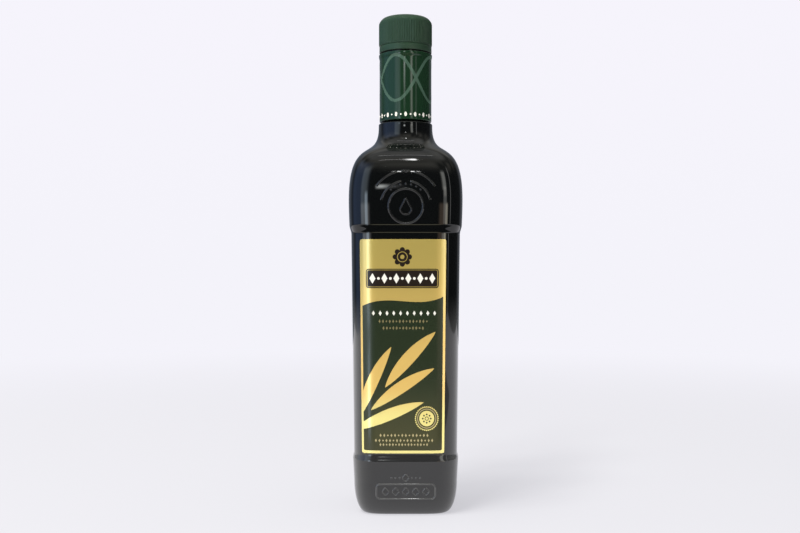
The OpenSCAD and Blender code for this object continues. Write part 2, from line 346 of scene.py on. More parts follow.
def makeBaseOrnament(material, side, name):
    o = baseBar
    shape = Shape()
    addRidge(shape, roundedBarPath(0, o["z"], o["width"], o["height"], o["corner"]), side, width=o["line"])
    for x in np.linspace(-o["lozengeSpan"], o["lozengeSpan"], o["lozengeCount"]):
        addRidge(shape, lozengePath(x, o["z"], *o["lozengeHalf"]), side, width=o["lozengeLine"])
    addRidge(shape, lozengePath(0, o["crestZ"], *o["crestHalf"]), side, width=o["lozengeLine"])
    for x in o["crestBeads"]:
        for place in (-x, x):
            addBead(shape, place, o["crestZ"], side)
    shape.build(name, material)


def addTurned(shape, profile, columns, wobble=None):
    # a closed profile of (radius, height) turned round the axis; wobble(angle, rows) adds to the radius
    profile = np.asarray(profile, float)
    ang = np.linspace(0, 2 * np.pi, columns, endpoint=False)[None, :]
    r = profile[:, :1] + (wobble(ang, profile) if wobble else 0 * ang)
    grid = together(r * np.cos(ang), r * np.sin(ang), profile[:, 1:])
    k = np.arange(columns)
    m = (k + 1) % columns
    last = (len(profile) - 1) * columns
    shape.add(grid, quadSheet(len(profile), columns, True), np.stack([last + k, last + m, m, k], axis=-1))


def arcPoints(cr, cz, r, start, end, count):
    ang = np.radians(np.linspace(start, end, count))
    return np.stack([cr + r * np.cos(ang), cz + r * np.sin(ang)], -1)


sleeveShape = {
    "bottomZ": 242.6, "topZ": 285.2, "radius": 16.45, "lip": 0.4, "flareZ": 281.6, "flareH": 2.4,
    "edge": 0.45, "inner": 15.1,
    # printed bands and beads: ink stands out of the wall by its lift and reaches inkSink into it
    "bandWidth": 1.9, "bandMiddleZ": 268.5, "bandHeight": 14.2, "bandTurn": -67.0, "bandLifts": (0.035, 0.06),
    "beadRowZ": 245.7, "beadCount": 34, "beadHalf": (0.85, 1.45), "dotHalf": (0.55, 0.55), "beadLift": 0.05,
    "inkSink": 0.04,
}


def sleeveRadius(z):
    # straight wall that flares into a rolled lip at its upper end
    s = sleeveShape
    return s["radius"] + s["lip"] * ease((z - s["flareZ"]) / s["flareH"])


def makeSleeve(material):
    # a turned tube: lower edge arc, wall, upper edge arc, and straight inside
    s = sleeveShape
    wallZ = np.concatenate([np.linspace(s["bottomZ"] + s["edge"], s["flareZ"] - 0.4, 24),
                            np.linspace(s["flareZ"] - 0.1, s["topZ"] - s["edge"], 16)])
    profile = np.concatenate([
        arcPoints(s["radius"] - s["edge"], s["bottomZ"] + s["edge"], s["edge"], -90, -10, 7),
        np.stack([sleeveRadius(wallZ), wallZ], -1),
        arcPoints(s["radius"] + s["lip"] - s["edge"], s["topZ"] - s["edge"], s["edge"], 10, 90, 7),
        [[s["inner"], z] for z in (s["topZ"], s["topZ"] - 2, s["bottomZ"] + 2, s["bottomZ"])],
    ])
    shape = Shape()
    addTurned(shape, profile, 160)
    piece = shape.build("neckSleeve", material)
    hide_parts("sleeve")


def sleevePoint(ang, z, lift):
    # point of the sleeve's wall at an angle from the front, moved out by lift
    r = sleeveRadius(z) + lift
    return np.stack([r * np.sin(ang), -r * np.cos(ang), z + 0 * ang], -1)


def makeSleeveBands(material):
    # two interlaced bands, z = middle +- height * sin(2 * turn), and each is a flat ribbon laid on the wall
    s = sleeveShape
    shape = Shape()
    t = np.linspace(0, 2 * np.pi, 240, endpoint=False)
    w = np.linspace(-0.5, 0.5, 5) * s["bandWidth"]
    for sign, lift in zip((1, -1), s["bandLifts"]):
        z = s["bandMiddleZ"] + sign * s["bandHeight"] * np.sin(2 * t)
        flat = np.stack([s["radius"] * (t + math.radians(s["bandTurn"])), z], -1)
        along = np.stack([np.full_like(t, s["radius"]), sign * s["bandHeight"] * 2 * np.cos(2 * t)], -1)
        where = flat[None, :, :] + leftOf(along)[None, :, :] * w[:, None, None]
        ang, z = where[..., 0] / s["radius"], where[..., 1]
        addSlab(shape, sleevePoint(ang, z, lift), sleevePoint(ang, z, -s["inkSink"]), wrap=True)
    shape.build("sleeveBands", material)


def makeSleeveBeads(material):
    # a row of small upright ovals and dots round the foot of the sleeve
    s = sleeveShape
    shape = Shape()
    q = np.array([0.5, 1.0])[:, None]
    a = np.linspace(0, 2 * np.pi, 12, endpoint=False)[None, :]
    for i in range(s["beadCount"]):
        middle = np.array(2 * math.pi * i / s["beadCount"])
        halfX, halfZ = s["beadHalf"] if i % 2 == 0 else s["dotHalf"]
        ang = middle + q * halfX * np.cos(a) / s["radius"]
        z = s["beadRowZ"] + q * halfZ * np.sin(a)
        addDisc(shape, sleevePoint(ang, z, s["beadLift"]), sleevePoint(ang, z, -s["inkSink"]),
                sleevePoint(middle, s["beadRowZ"], s["beadLift"]),
                sleevePoint(middle, s["beadRowZ"], -s["inkSink"]))
    shape.build("sleeveBeads", material)


capShape = {
    "bottomZ": 286.2, "topZ": 309.5, "bandR": 16.55, "bandH": 3.9, "bandEdge": 0.3, "footInset": 0.35,
    "outerR": 16.85, "edgeR": 4.6, "dome": 0.9, "inner": 15.1, "insideH": 9.0,
    # the groove as (inset from the band, height over the band's top), and where the wall starts over it
    "groove": [(0.02, -0.25), (0.12, -0.05), (0.35, 0.08), (0.38, 0.3)], "wallStart": 0.42,
    "ribs": 96, "ribDepth": 0.3, "ribPower": 1.6, "ribRise": 0.5, "ribFade": 3.2, "stepsPerRib": 8,
}


def makeCap(material):
    # a turned cup whose wall, from the groove to the rounded edge, carries ribs: depth * |cos(angle)|^power
    c = capShape
    bandTop = c["bottomZ"] + c["bandH"]
    wallZ = bandTop + c["wallStart"]
    coreR = c["outerR"] - c["ribDepth"]
    flatR = coreR - c["edgeR"]
    edgeZ = c["topZ"] - c["dome"] - c["edgeR"]
    insideZ = c["topZ"] - c["insideH"]
    t = np.linspace(0.04, 0.985, 16)
    profile = np.concatenate([
        [[c["bandR"] - c["footInset"], c["bottomZ"]]],
        arcPoints(c["bandR"] - c["bandEdge"], c["bottomZ"] + c["bandEdge"], c["bandEdge"], -80, 0, 5),
        [[c["bandR"], c["bottomZ"] + 1.6]],
        [[c["bandR"] - inset, bandTop + up] for inset, up in c["groove"]],
        [[coreR + 0.05, wallZ]],
        np.stack([np.full(16, coreR), np.linspace(wallZ + 0.2, edgeZ, 16)], -1),
        arcPoints(flatR, edgeZ, c["edgeR"], 6, 84, 14),
        np.stack([flatR * (1 - t), c["topZ"] - c["dome"] * (1 - t) ** 2], -1),
        [[0.2, insideZ], [c["inner"], insideZ], [c["inner"], c["bottomZ"]]],
    ])

    def ribs(ang, rows):
        r, z = rows[:, :1], rows[:, 1:]
        up = ease((z - wallZ) / c["ribRise"]) * (1 - ease((z - edgeZ) / c["ribFade"])) * (r > coreR - 1.5)
        return c["ribDepth"] * up * np.abs(np.cos(ang * c["ribs"] / 2)) ** c["ribPower"]

    shape = Shape()
    addTurned(shape, profile, c["ribs"] * c["stepsPerRib"], ribs)
    piece = shape.build("screwCap", material)
    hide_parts("cap")


labelShape = {
    "bottomZ": 38.1, "topZ": 167.6, "topHalf": 26.1, "thickness": 0.16, "sink": 0.03, "corner": 1.0,
    "frontShift": -1.7, "borderLeft": 1.25, "borderRight": 1.5, "borderBottom": 1.7,
    "waveMiddleZ": 130.15, "waveRise": 5.6, "waveDip": -2.1,
    # each layer of ink is one step over the last, and its foot reaches inkFoot steps down
    "inkStep": 0.03, "inkFoot": 1.4,
}


class Label:
    # one label, and the flat shapes printed on it, drawn in (x, z) at the width of the label's upper end
    def __init__(self, side, shift, ending):
        self.side, self.shift, self.ending = side, shift, ending

    def point(self, x, z, lift):
        # the panel narrows towards the base, so a place x on the label narrows with it
        g = glassShape
        slope = (g["panelTopHalf"] - g["panelBottomHalf"]) / (g["panelTopZ"] - g["panelBottomZ"])
        z = np.asarray(z, float)
        narrowing = (g["panelBottomHalf"] + slope * (z - g["panelBottomZ"])) / (
            g["panelBottomHalf"] + slope * (labelShape["topZ"] - g["panelBottomZ"]))
        return frontPoint((np.asarray(x, float) + self.shift) * narrowing, z, lift, self.side)

    def at(self, x, z, layer):
        return self.point(x, z, labelShape["thickness"] + labelShape["inkStep"] * layer)

    def plate(self, shape, x, z, layer, wrap=False):
        addSlab(shape, self.at(x, z, layer), self.at(x, z, layer - labelShape["inkFoot"]), wrap)

    def disc(self, shape, cx, cz, outline, layer, half=(1.0, 1.0), rings=4):
        # a plate whose edge is outline (one radius for each direction) times half, filled with rings
        ang = np.linspace(0, 2 * np.pi, len(outline), endpoint=False)[None, :]
        q = np.linspace(1 / rings, 1, rings)[:, None]
        x, z = cx + q * outline * half[0] * np.cos(ang), cz + q * outline * half[1] * np.sin(ang)
        foot = layer - labelShape["inkFoot"]
        addDisc(shape, self.at(x, z, layer), self.at(x, z, foot),
                self.at(cx, cz, layer), self.at(cx, cz, foot))

    def lozenge(self, shape, cx, cz, w, h, layer, n=1):
        # |x/w|^n + |z/h|^n = 1
        outline = squareRadius(np.linspace(0, 2 * np.pi, 16, endpoint=False), n)
        self.disc(shape, cx, cz, outline, layer, (w / 2, h / 2), rings=2)

    def dot(self, shape, cx, cz, width, layer):
        self.lozenge(shape, cx, cz, width, width, layer, n=2)

    def ring(self, shape, cx, cz, outer, inner, layer, count=96):
        ang = np.linspace(0, 2 * np.pi, count, endpoint=False)[None, :]
        q = np.linspace(outer, inner, 3)[:, None]
        self.plate(shape, cx + q * np.cos(ang), cz + q * np.sin(ang), layer, wrap=True)

    def line(self, shape, path, width, layer):
        # a flat line of even width along a closed path
        w = np.array([0.5, 0, -0.5])[:, None, None] * width
        where = path[None] + acrossPath(path, True)[None] * w
        self.plate(shape, where[..., 0], where[..., 1], layer, wrap=True)


def barGrid(x, z, w, h, r, rows, cols):
    # a bar with round corners as a grid: each row is as wide as the corners leave it
    up = -np.cos(np.linspace(0, np.pi, rows)) * h / 2
    into = np.clip(np.abs(up) - (h / 2 - r), 0, r)
    half = w / 2 - r + np.sqrt(np.maximum(r * r - into * into, 0))
    return x + half[:, None] * np.linspace(-1, 1, cols)[None, :], z + up[:, None] + np.zeros((rows, cols))


def makeLabelFoil(label, material, node):
    t = labelShape
    tall = t["topZ"] - t["bottomZ"]
    x, z = barGrid(0, t["bottomZ"] + tall / 2, 2 * t["topHalf"], tall, t["corner"], 49, 49)
    shape = Shape()
    addSlab(shape, label.at(x, z, 0), label.point(x, z, -t["sink"]))
    piece = shape.build("labelFoil" + label.ending, material)
    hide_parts(node)


def waveZ(x):
    # upper edge of the green field: a cubic wave that dips and then rises to the right
    t = labelShape
    u = x / t["topHalf"]
    return t["waveMiddleZ"] + t["waveRise"] * u ** 3 + t["waveDip"] * u


def makeGreenField(label, material):
    # a grid from the lower border up to the wave, narrowed in its lowest rows to round the two corners
    t = labelShape
    half = t["topHalf"] - (t["borderLeft"] + t["borderRight"]) / 2
    middle = (t["borderLeft"] - t["borderRight"]) / 2
    low = t["bottomZ"] + t["borderBottom"]
    x = middle + np.linspace(-half, half, 57)[None, :]
    z = between(low, waveZ(x), np.linspace(0, 1, 41)[:, None] ** 2)
    into = np.clip(t["corner"] - (z - low), 0, t["corner"])
    narrowing = 1 - (t["corner"] - np.sqrt(t["corner"] ** 2 - into ** 2)) / half
    shape = Shape()
    label.plate(shape, middle + (x - middle) * narrowing, z, 1)
    shape.build("greenField" + label.ending, material)


leaves = [
    # base, pull and tip as (x, z) on the label, and the widest width
    {"base": (-11.2, 78.0), "pull": (2.4, 96.6), "tip": (20.1, 111.6), "width": 7.7},
    {"base": (-27.1, 60.0), "pull": (-20.3, 82.7), "tip": (-7.3, 102.5), "width": 7.0},
    {"base": (-20.1, 64.3), "pull": (-2.0, 79.4), "tip": (19.4, 89.5), "width": 7.2},
    {"base": (-31.5, 51.5), "pull": (-10.1, 62.2), "tip": (12.9, 69.0), "width": 7.0},
]


def makeLeaves(label, material):
    # each leaf is a curve of three points whose width follows (4 s (1 - s))^0.85, cut off at the field's edge
    edgeX = -labelShape["topHalf"] + labelShape["borderLeft"] - 0.2
    shape = Shape()
    s = np.linspace(0, 1, 201)
    w = np.linspace(-1, 1, 9)
    for leaf in leaves:
        base, pull, tip = (np.array(leaf[k]) for k in ("base", "pull", "tip"))
        middle = np.outer((1 - s) ** 2, base) + np.outer(2 * s * (1 - s), pull) + np.outer(s ** 2, tip)
        half = leaf["width"] / 2 * np.clip(4 * s * (1 - s), 0.004, 1) ** 0.85
        lines = middle[None] + acrossPath(middle, False)[None] * (half[None, :] * w[:, None])[..., None]
        cut = np.empty((len(w), 41, 2))
        for i, line in enumerate(lines):
            enters = np.argmax(np.maximum.accumulate(line[:, 0]) > edgeX)
            first = np.interp(edgeX, line[:enters + 1, 0], s[:enters + 1]) if enters else 0.0
            stops = between(first, 1, np.linspace(0, 1, cut.shape[1]))
            cut[i] = np.stack([np.interp(stops, s, line[:, 0]), np.interp(stops, s, line[:, 1])], -1)
        label.plate(shape, cut[..., 0], cut[..., 1], 2)
    shape.build("goldLeaves" + label.ending, material)


plaque = {
    "x": -0.4, "z": 143.9, "width": 44.4, "height": 11.7, "corner": 1.6,
    "trimInset": 0.75, "trimCorner": 1.12, "trimWidth": 0.28,
    "marks": 11, "marksSpan": 18.2, "lozenge": (3.7, 6.3), "dot": 1.7,
    "rosetteZ": 156.9, "rosetteR": 5.9, "scallop": 0.28, "ring": (3.2, 2.8), "rosetteDot": 2.6,
}


def makePlaque(label, dark, gold, cream):
    # a bar with a thin line and a row of marks, and over it a rosette whose edge follows |cos(4 a)|^0.7
    p = plaque
    ang = np.linspace(0, 2 * np.pi, 96, endpoint=False)
    scallops = 1 - p["scallop"] + p["scallop"] * np.abs(np.cos(4 * ang)) ** 0.7
    body = Shape()
    label.plate(body, *barGrid(p["x"], p["z"], p["width"], p["height"], p["corner"], 13, 33), 1)
    label.disc(body, p["x"], p["rosetteZ"], p["rosetteR"] * scallops, 1)
    body.build("plaque" + label.ending, dark)
    trim = Shape()
    inset = 2 * p["trimInset"]
    path = roundedBarPath(p["x"], p["z"], p["width"] - inset, p["height"] - inset, p["trimCorner"])
    label.line(trim, path, p["trimWidth"], 2)
    label.ring(trim, p["x"], p["rosetteZ"], *p["ring"], 2)
    label.dot(trim, p["x"], p["rosetteZ"], p["rosetteDot"], 2)
    trim.build("plaqueTrim" + label.ending, gold)
    marks = Shape()
    for i, x in enumerate(p["x"] + np.linspace(-p["marksSpan"], p["marksSpan"], p["marks"])):
        if i % 2 == 0:
            label.lozenge(marks, x, p["z"], *p["lozenge"], 2)
        else:
            label.dot(marks, x, p["z"], p["dot"], 2)
    marks.build("plaqueMarks" + label.ending, cream)


markRows = {
    # rows as (left end, right end, height on the label, number of marks, height of a mark)
    "cream": (-18.2, 19.4, 122.9, 10, 3.0), "creamWidth": 1.85,
    "fine": [(-14.4, 14.6, 118.0, 15, 2.3), (-12.0, 12.2, 113.9, 13, 2.3), (-14.2, 15.4, 49.0, 14, 2.1),
             (-17.2, 18.4, 45.9, 17, 2.1), (-14.4, 15.2, 43.4, 16, 1.9)],
    "fineWidth": 1.25, "dot": 1.0,
}

seal = {
    "x": 14.9, "z": 59.2, "beads": 36, "beadRowR": 7.15, "bead": 0.78, "outerRing": (7.05, 6.75),
    "dullRing": (6.05, 5.45), "discR": 4.7, "petals": 8, "petalRowR": 2.5, "petal": 1.1, "eye": (1.25, 0.85),
}


def makeMarkRows(label, cream, dull):
    # rows of small marks, every third one a dot; the seal's dull ring is in the same ink
    m = markRows
    upper = Shape()
    left, right, z, count, tall = m["cream"]
    for x in np.linspace(left, right, count):
        label.lozenge(upper, x, z, m["creamWidth"], tall, 2)
    upper.build("creamMarks" + label.ending, cream)
    fine = Shape()
    for left, right, z, count, tall in m["fine"]:
        for i, x in enumerate(np.linspace(left, right, count)):
            if i % 3 == 2:
                label.dot(fine, x, z, m["dot"], 2)
            else:
                label.lozenge(fine, x, z, m["fineWidth"], tall, 2)
    label.ring(fine, seal["x"], seal["z"], *seal["dullRing"], 2)
    fine.build("fineMarks" + label.ending, dull)


def makeSeal(label, gold, dark):
    # a beaded gold ring round a disc with an eight-petalled rosette
    s = seal

    def dotsRound(shape, count, r, width, layer):
        for ang in np.linspace(0, 2 * np.pi, count, endpoint=False):
            label.dot(shape, s["x"] + r * math.cos(ang), s["z"] + r * math.sin(ang), width, layer)

    body = Shape()
    dotsRound(body, s["beads"], s["beadRowR"], s["bead"], 2)
    label.ring(body, s["x"], s["z"], *s["outerRing"], 2)
    label.disc(body, s["x"], s["z"], np.full(64, s["discR"]), 2)
    body.build("seal" + label.ending, gold)
    rosette = Shape()
    dotsRound(rosette, s["petals"], s["petalRowR"], s["petal"], 3)
    label.ring(rosette, s["x"], s["z"], *s["eye"], 3, count=40)
    rosette.build("sealRosette" + label.ending, dark)


def toLinear(rgb):
    # a screen colour, 0 to 255, in linear light
    return [((c / 255 + 0.055) / 1.055) ** 2.4 if c > 10 else c / 255 / 12.92 for c in rgb]


def newMaterial(name, **sockets):
    # a Principled material with plain values on its sockets
    material = bpy.data.materials.new(name)
    material.use_nodes = True
    shader = material.node_tree.nodes["Principled BSDF"]
    for key, value in sockets.items():
        shader.inputs[key.replace("_", " ")].default_value = value
    return material, material.node_tree, shader


def newGroup(name, inputs, outputs):
    # a node group with named sockets, given as {name: kind}, and its two end nodes
    group = bpy.data.node_groups.new(name, "ShaderNodeTree")
    for way, sockets in (("INPUT", inputs), ("OUTPUT", outputs)):
        for socket, kind in sockets.items():
            group.interface.new_socket(socket, in_out=way, socket_type="NodeSocket" + kind)
    return group, group.nodes.new("NodeGroupInput"), group.nodes.new("NodeGroupOutput")


def mixColors(tree, factor, low, high):
    # low and high are plain tones or sockets; factor is a socket
    mix = tree.nodes.new("ShaderNodeMix")
    mix.data_type = "RGBA"
    tree.links.new(factor, mix.inputs["Factor"])
    for key, value in (("A", low), ("B", high)):
        if isinstance(value, (tuple, list)):
            mix.inputs[key].default_value = (*value, 1)
        else:
            tree.links.new(value, mix.inputs[key])
    return mix.outputs["Result"]


def grainGroup():
    # colour that drifts between two tones, roughness that drifts with fine grain, and the grain's height
    group, inn, out = newGroup(
        "surfaceGrain",
        {"Tone A": "Color", "Tone B": "Color", "Scale": "Float", "Fine Scale": "Float",
         "Rough Low": "Float", "Rough High": "Float"},
        {"Color": "Color", "Roughness": "Float", "Height": "Float"})
    nodes, links = group.nodes, group.links
    place = nodes.new("ShaderNodeTexCoord")
    cloud = nodes.new("ShaderNodeTexNoise")
    fine = nodes.new("ShaderNodeTexNoise")
    for noise, detail, scale in ((cloud, 3, "Scale"), (fine, 2, "Fine Scale")):
        noise.inputs["Detail"].default_value = detail
        links.new(place.outputs["Object"], noise.inputs["Vector"])
        links.new(inn.outputs[scale], noise.inputs["Scale"])
    color = mixColors(group, cloud.outputs["Fac"], inn.outputs["Tone A"], inn.outputs["Tone B"])
    links.new(color, out.inputs["Color"])
    rough = nodes.new("ShaderNodeMapRange")
    links.new(fine.outputs["Fac"], rough.inputs["Value"])
    links.new(inn.outputs["Rough Low"], rough.inputs["To Min"])
    links.new(inn.outputs["Rough High"], rough.inputs["To Max"])
    links.new(rough.outputs["Result"], out.inputs["Roughness"])
    links.new(fine.outputs["Fac"], out.inputs["Height"])
    return group


def heightGroup():
    # a mask that rises smoothly from 0 at a low height to 1 at a high one
    group, inn, out = newGroup("heightMask", {"Low Z": "Float", "High Z": "Float"}, {"Mask": "Float"})
    place = group.nodes.new("ShaderNodeTexCoord")
    split = group.nodes.new("ShaderNodeSeparateXYZ")
    upward = group.nodes.new("ShaderNodeMapRange")
    upward.interpolation_type = "SMOOTHSTEP"
    links = group.links
    links.new(place.outputs["Object"], split.inputs[0])
    links.new(split.outputs["Z"], upward.inputs["Value"])
    links.new(inn.outputs["Low Z"], upward.inputs["From Min"])
    links.new(inn.outputs["High Z"], upward.inputs["From Max"])
    links.new(upward.outputs["Result"], out.inputs["Mask"])
    return group


grain = grainGroup()
heightMask = heightGroup()


def placeGroup(tree, group, **values):
    node = tree.nodes.new("ShaderNodeGroup")
    node.node_tree = group
    for key, value in values.items():
        node.inputs[key.replace("_", " ")].default_value = value
    return node


def addGrain(tree, shader, tones, scale, fineScale, rough, bump=0.0, bumpDepth=0.0, low=()):
    # the grain group with this material's own values; low holds (tone, low z, high z), from the top down:
    # tones painted over the lower part as a painted reflection of the pale floor
    node = placeGroup(tree, grain, Tone_A=(*tones[0], 1), Tone_B=(*tones[1], 1), Scale=scale,
                      Fine_Scale=fineScale, Rough_Low=rough[0], Rough_High=rough[1])
    color = node.outputs["Color"]
    for tone, lowZ, highZ in low:
        mask = placeGroup(tree, heightMask, Low_Z=lowZ * mm, High_Z=highZ * mm)
        color = mixColors(tree, mask.outputs["Mask"], tone, color)
    tree.links.new(color, shader.inputs["Base Color"])
    tree.links.new(node.outputs["Roughness"], shader.inputs["Roughness"])
    if bump:
        relief = tree.nodes.new("ShaderNodeBump")
        relief.inputs["Strength"].default_value = bump
        relief.inputs["Distance"].default_value = bumpDepth * mm
        tree.links.new(node.outputs["Height"], relief.inputs["Height"])
        tree.links.new(relief.outputs["Normal"], shader.inputs["Normal"])


def glassMaterial():
    # near-black green glass: clear gloss over a body too dark to see into, paler in the foot and at its
    # edges: a painted reflection of the pale floor, palest where the foot is seen edge-on
    material, tree, shader = newMaterial("darkGlass", IOR=1.58)
    # painted reflection of the pale floor: a grey that grows from face-on to edge-on, laid over the glass
    # below 100 to 136 mm
    facing = tree.nodes.new("ShaderNodeLayerWeight")
    facing.inputs["Blend"].default_value = 0.5
    edge = tree.nodes.new("ShaderNodeMapRange")
    edge.inputs["From Min"].default_value = 0.04
    edge.inputs["From Max"].default_value = 0.6
    tree.links.new(facing.outputs["Facing"], edge.inputs["Value"])
    foot = mixColors(tree, edge.outputs["Result"], (0.022, 0.022, 0.0215), (0.11, 0.11, 0.107))
    addGrain(tree, shader, tones=((0.0012, 0.0016, 0.0015), (0.0024, 0.0027, 0.0024)), scale=14, fineScale=55,
             rough=(0.028, 0.05), bump=0.25, bumpDepth=0.09, low=[(foot, 100, 136)])
    return material


def ridgeMaterial():
    # the same glass on the raised lines, a little paler: a painted highlight where light gathers in them, and
    # paler again low down, a painted reflection of the pale floor
    material, tree, shader = newMaterial("ridgeGlass", IOR=1.58)
    # painted highlight in both tones; painted reflection of the pale floor in the tone below 100 to 136 mm
    addGrain(tree, shader, tones=((0.006, 0.0065, 0.006), (0.012, 0.0125, 0.0115)), scale=14, fineScale=300,
             rough=(0.04, 0.07), low=[((0.07, 0.07, 0.068), 100, 136)])
    return material


def plasticMaterial(name, tones, rough, bumpDepth):
    material, tree, shader = newMaterial(name, IOR=1.48)
    addGrain(tree, shader, [toLinear(tone) for tone in tones], scale=90, fineScale=900, rough=rough,
             bump=0.2, bumpDepth=bumpDepth)
    return material


def inkMaterial(name, tones, rough, coat=0.0, low=()):
    material, tree, shader = newMaterial(name, Specular_IOR_Level=0.35, Coat_Weight=coat, Coat_Roughness=0.08)
    addGrain(tree, shader, [toLinear(tone) for tone in tones], scale=80, fineScale=300, rough=rough, low=low)
    return material


def foilMaterial(name, tones, metallic, low):
    # part metal, part pigment, so that the foil keeps its colour where it mirrors a dark room
    material, tree, shader = newMaterial(name, Metallic=metallic, Coat_Weight=0.9, Coat_Roughness=0.09,
                                         Coat_IOR=1.6)
    addGrain(tree, shader, tones, scale=40, fineScale=300, rough=(0.2, 0.24), low=low)
    return material


glass = glassMaterial()
ridgeGlass = ridgeMaterial()
capPlastic = plasticMaterial("greenCapPlastic", [(33, 56, 38), (37, 61, 42)], rough=(0.36, 0.46),
                             bumpDepth=0.03)
sleevePlastic = plasticMaterial("greenSleevePlastic", [(20, 45, 27), (24, 50, 30)], rough=(0.08, 0.11),
                                bumpDepth=0.008)
paleInk = inkMaterial("paleGreenInk", [(70, 95, 78), (62, 86, 71)], rough=(0.16, 0.24))
creamInk = inkMaterial("creamInk", [(240, 237, 224), (232, 228, 214)], rough=(0.3, 0.45))
# the green ink turns paler and yellower below 36 to 84 mm: a painted reflection of the pale floor
greenInk = inkMaterial("darkGreenInk", [(31, 42, 23), (34, 45, 26)], rough=(0.22, 0.27), coat=0.5,
                       low=[(toLinear((53, 53, 19)), 36, 84)])
darkInk = inkMaterial("darkBrownInk", [(24, 13, 4), (28, 16, 7)], rough=(0.3, 0.4), coat=0.2)
# the foil turns warmer below 92 to 164 mm and pale yellow below 58 to 78 mm: a painted reflection of the pale
# floor, with a painted highlight in the pale yellow
goldFoil = foilMaterial("goldFoil", [(0.58, 0.45, 0.113), (0.62, 0.475, 0.122)], metallic=0.42,
                        low=[((0.95, 0.635, 0.18), 92, 164), ((1.0, 0.885, 0.31), 58, 78)])
# the dull gold turns paler below 40 to 120 mm: a painted reflection of the pale floor
dullGold = foilMaterial("dullGold", [(0.3, 0.25, 0.11), (0.33, 0.27, 0.13)], metallic=0.4,
                        low=[((0.5, 0.42, 0.2), 40, 120)])
print("materials made")

makeGlass(glass)
makeShoulderOrnament(ridgeGlass, -1, "shoulderOrnamentFront")
makeShoulderOrnament(ridgeGlass, 1, "shoulderOrnamentBack")
makeBaseOrnament(ridgeGlass, -1, "baseOrnamentFront")
makeBaseOrnament(ridgeGlass, 1, "baseOrnamentBack")
print("glass made")
makeSleeve(sleevePlastic)
makeSleeveBands(paleInk)
makeSleeveBeads(creamInk)
makeCap(capPlastic)
print("neck made")
frontLabel = Label(-1, labelShape["frontShift"], "Front")
backLabel = Label(1, 0.0, "Back")
for label, node in ((frontLabel, "label_front"), (backLabel, "label_back")):
    makeLabelFoil(label, goldFoil, node)
    makeGreenField(label, greenInk)
    makePlaque(label, darkInk, goldFoil, creamInk)
    makeLeaves(label, goldFoil)
    makeMarkRows(label, creamInk, dullGold)
    makeSeal(label, goldFoil, darkInk)
print("labels made")


studio = {
    # sizes in metres; the floor turns into the backdrop between fadeStart and fadeEnd from the bottle
    "tableHalf": 1.3, "notchFront": 0.25, "notchHalf": 0.46, "floorFar": 40.0,
    "floorTone": (0.5, 0.498, 0.508), "floorGlow": 0.575, "fadeStart": 0.25, "fadeEnd": 1.25,
    "backTop": (246, 244, 252), "backLow": (244, 243, 250), "backFrom": -2, "backTo": 16,
    "evenTone": (0.98, 0.985, 1.0), "evenStrength": 0.72,
    "roomTone": (0.5, 0.48, 0.42), "roomFrom": 24, "roomTo": 46, "roomScale": 2.4,
}


def makeFloorPiece(name, outline, material):
    # a flat polygon on the ground, corners in metres
    mesh = bpy.data.meshes.new(name)
    mesh.from_pydata([(x, y, 0) for x, y in outline], [], [list(range(len(outline)))])
    mesh.update()
    piece = bpy.data.objects.new(name, mesh)
    scene.collection.objects.link(piece)
    mesh.materials.append(material)
    return piece


def makeFloorMaterial():
    # matt paint near the bottle that turns, with distance, into the backdrop's own even tone
    material, tree, shader = newMaterial("floorPaint", Roughness=0.9, Specular_IOR_Level=0.0)
    place = tree.nodes.new("ShaderNodeTexCoord")
    length = tree.nodes.new("ShaderNodeVectorMath")
    length.operation = "LENGTH"
    tree.links.new(place.outputs["Object"], length.inputs[0])
    fade = tree.nodes.new("ShaderNodeMapRange")
    fade.interpolation_type = "SMOOTHSTEP"
    fade.inputs["From Min"].default_value = studio["fadeStart"]
    fade.inputs["From Max"].default_value = studio["fadeEnd"]
    fade.inputs["To Min"].default_value = studio["floorGlow"]
    tree.links.new(length.outputs["Value"], fade.inputs["Value"])
    paint = mixColors(tree, fade.outputs["Result"], studio["floorTone"], (0, 0, 0))
    tree.links.new(paint, shader.inputs["Base Color"])
    shader.inputs["Emission Color"].default_value = (*toLinear(studio["backLow"]), 1)
    tree.links.new(fade.outputs["Result"], shader.inputs["Emission Strength"])
    return material


def makeFloor():
    # the table top is seen in the glass; a dark notch in front of it and the ground far away aren't
    t, front, half, far = studio["tableHalf"], -studio["notchFront"], studio["notchHalf"], studio["floorFar"]
    material = makeFloorMaterial()
    makeFloorPiece("tableTop", [(-t, front), (t, front), (t, t), (-t, t)], material)
    makeFloorPiece("tableLeft", [(-t, -t), (-half, -t), (-half, front), (-t, front)], material)
    makeFloorPiece("tableRight", [(half, -t), (t, -t), (t, front), (half, front)], material)
    beyond = [
        [(-half, -t), (half, -t), (half, front), (-half, front)],
        [(-far, -far), (far, -far), (far, -t), (-far, -t)],
        [(-far, -t), (-t, -t), (-t, t), (-far, t)],
        [(t, -t), (far, -t), (far, t), (t, t)],
        [(-far, t), (far, t), (far, far), (-far, far)],
    ]
    for i, outline in enumerate(beyond):
        makeFloorPiece("groundBeyond%d" % (i + 1), outline, material).visible_glossy = False


makeFloor()

